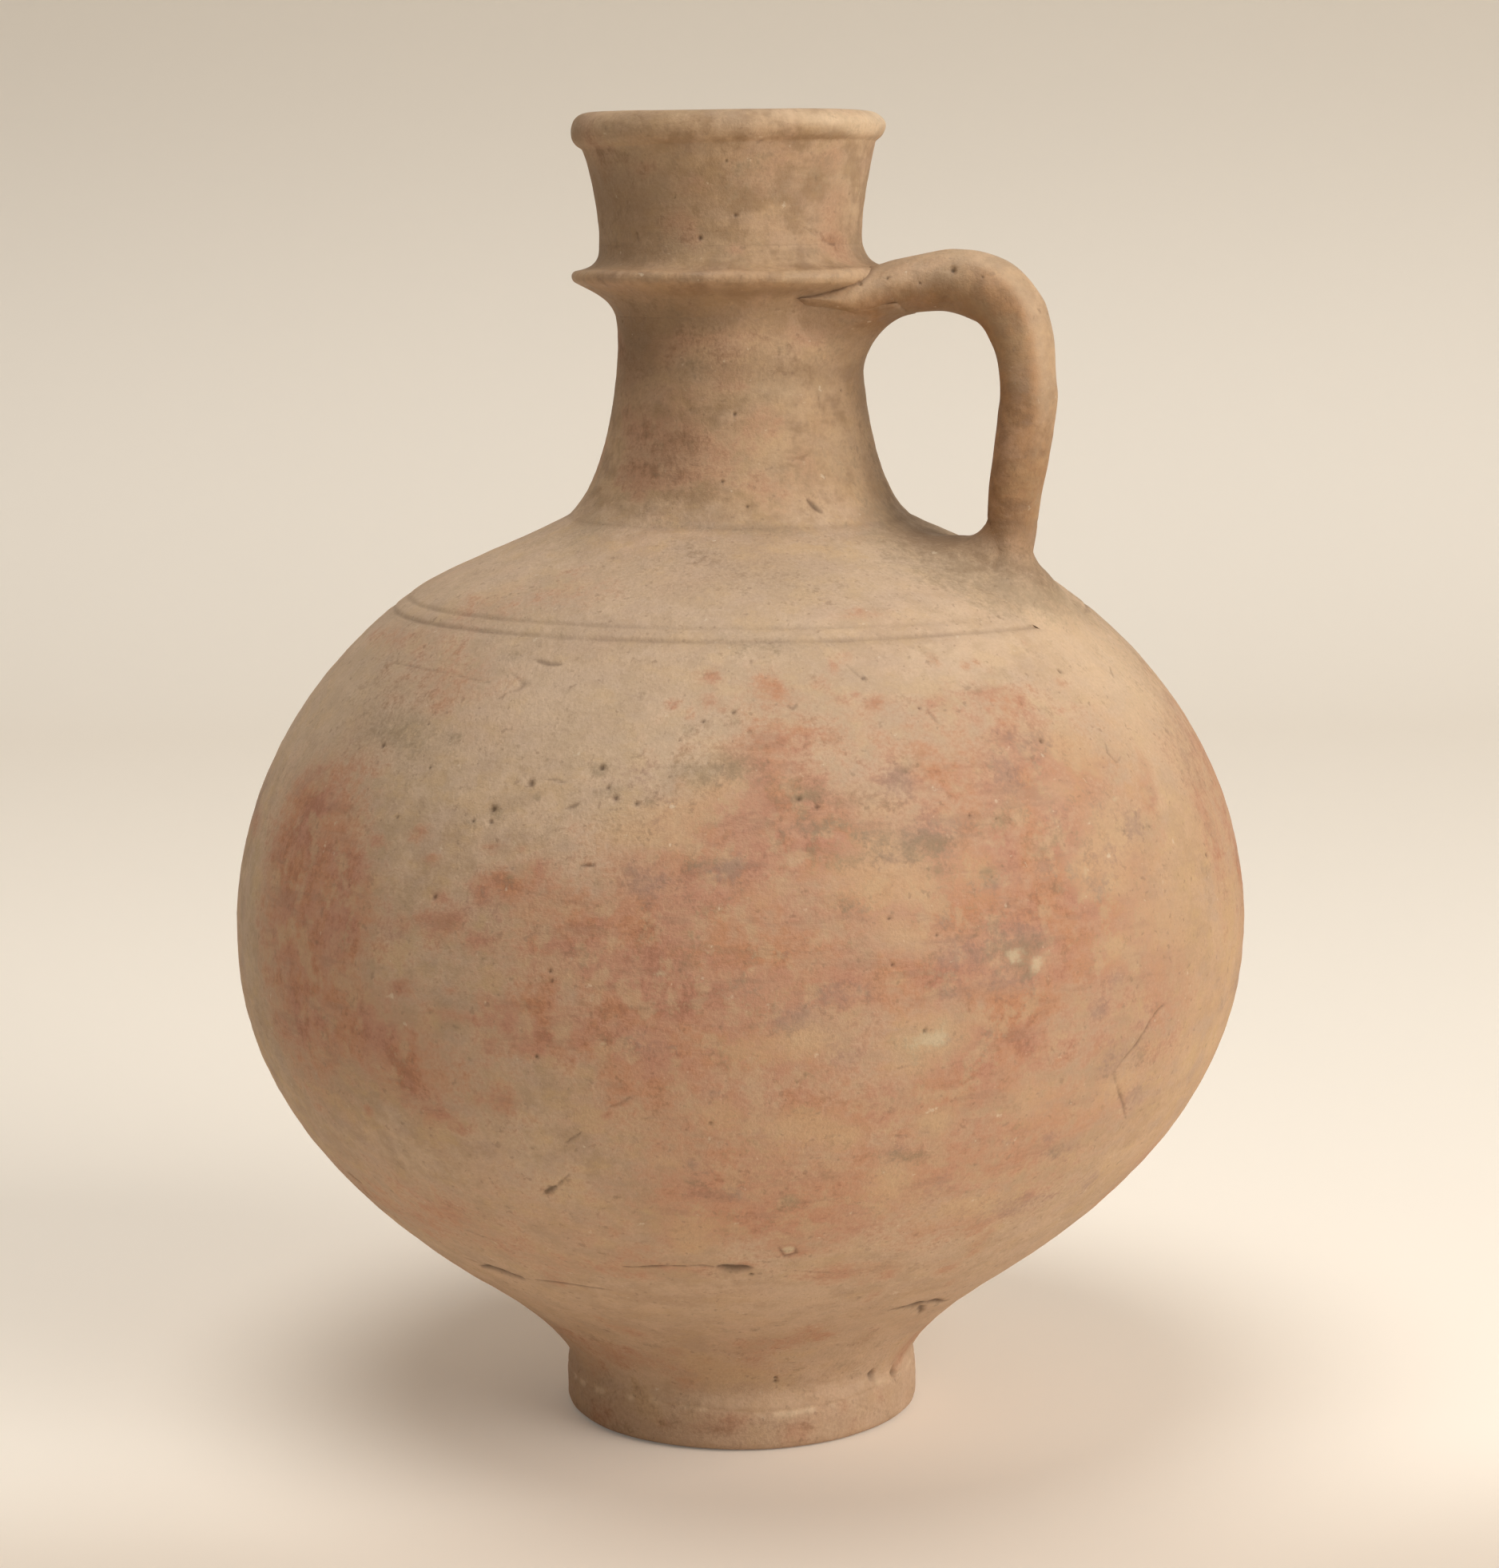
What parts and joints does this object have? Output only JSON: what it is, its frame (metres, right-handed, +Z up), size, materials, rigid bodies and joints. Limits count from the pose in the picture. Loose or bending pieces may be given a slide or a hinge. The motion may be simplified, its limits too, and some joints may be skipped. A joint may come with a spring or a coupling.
{
  "type": "wine jug",
  "caption": "Round-bellied pottery jug on a foot ring, with a narrow collared neck, flared rolled lip and one small handle, for keeping and pouring wine.",
  "frame": {"origin": "centre of the circle that the foot's centre line meets on the table", "axes": "+Z up along the jug's axis, -Y toward the viewer of the picture, the handle 24 degrees round from +X toward -Y"},
  "size_m": [0.2292, 0.2292, 0.2962],
  "materials": {
    "body_clay": "matt buff slip over orange clay, stained and pitted",
    "foot_clay": "matt, worn buff slip",
    "neck_clay": "matt buff slip, hand wiped",
    "handle_clay": "matt buff slip, hand smoothed",
    "luting_clay": "matt greyish slip, finger smeared"
  },
  "bodies": {
    "root": {"foot": "foot_clay", "lower_body": "body_clay", "upper_body": "body_clay", "neck": "neck_clay", "collar": "neck_clay", "mouth": "neck_clay", "handle": "handle_clay", "upper_luting": "luting_clay", "lower_luting": "luting_clay"}
  },
  "joints": []
}
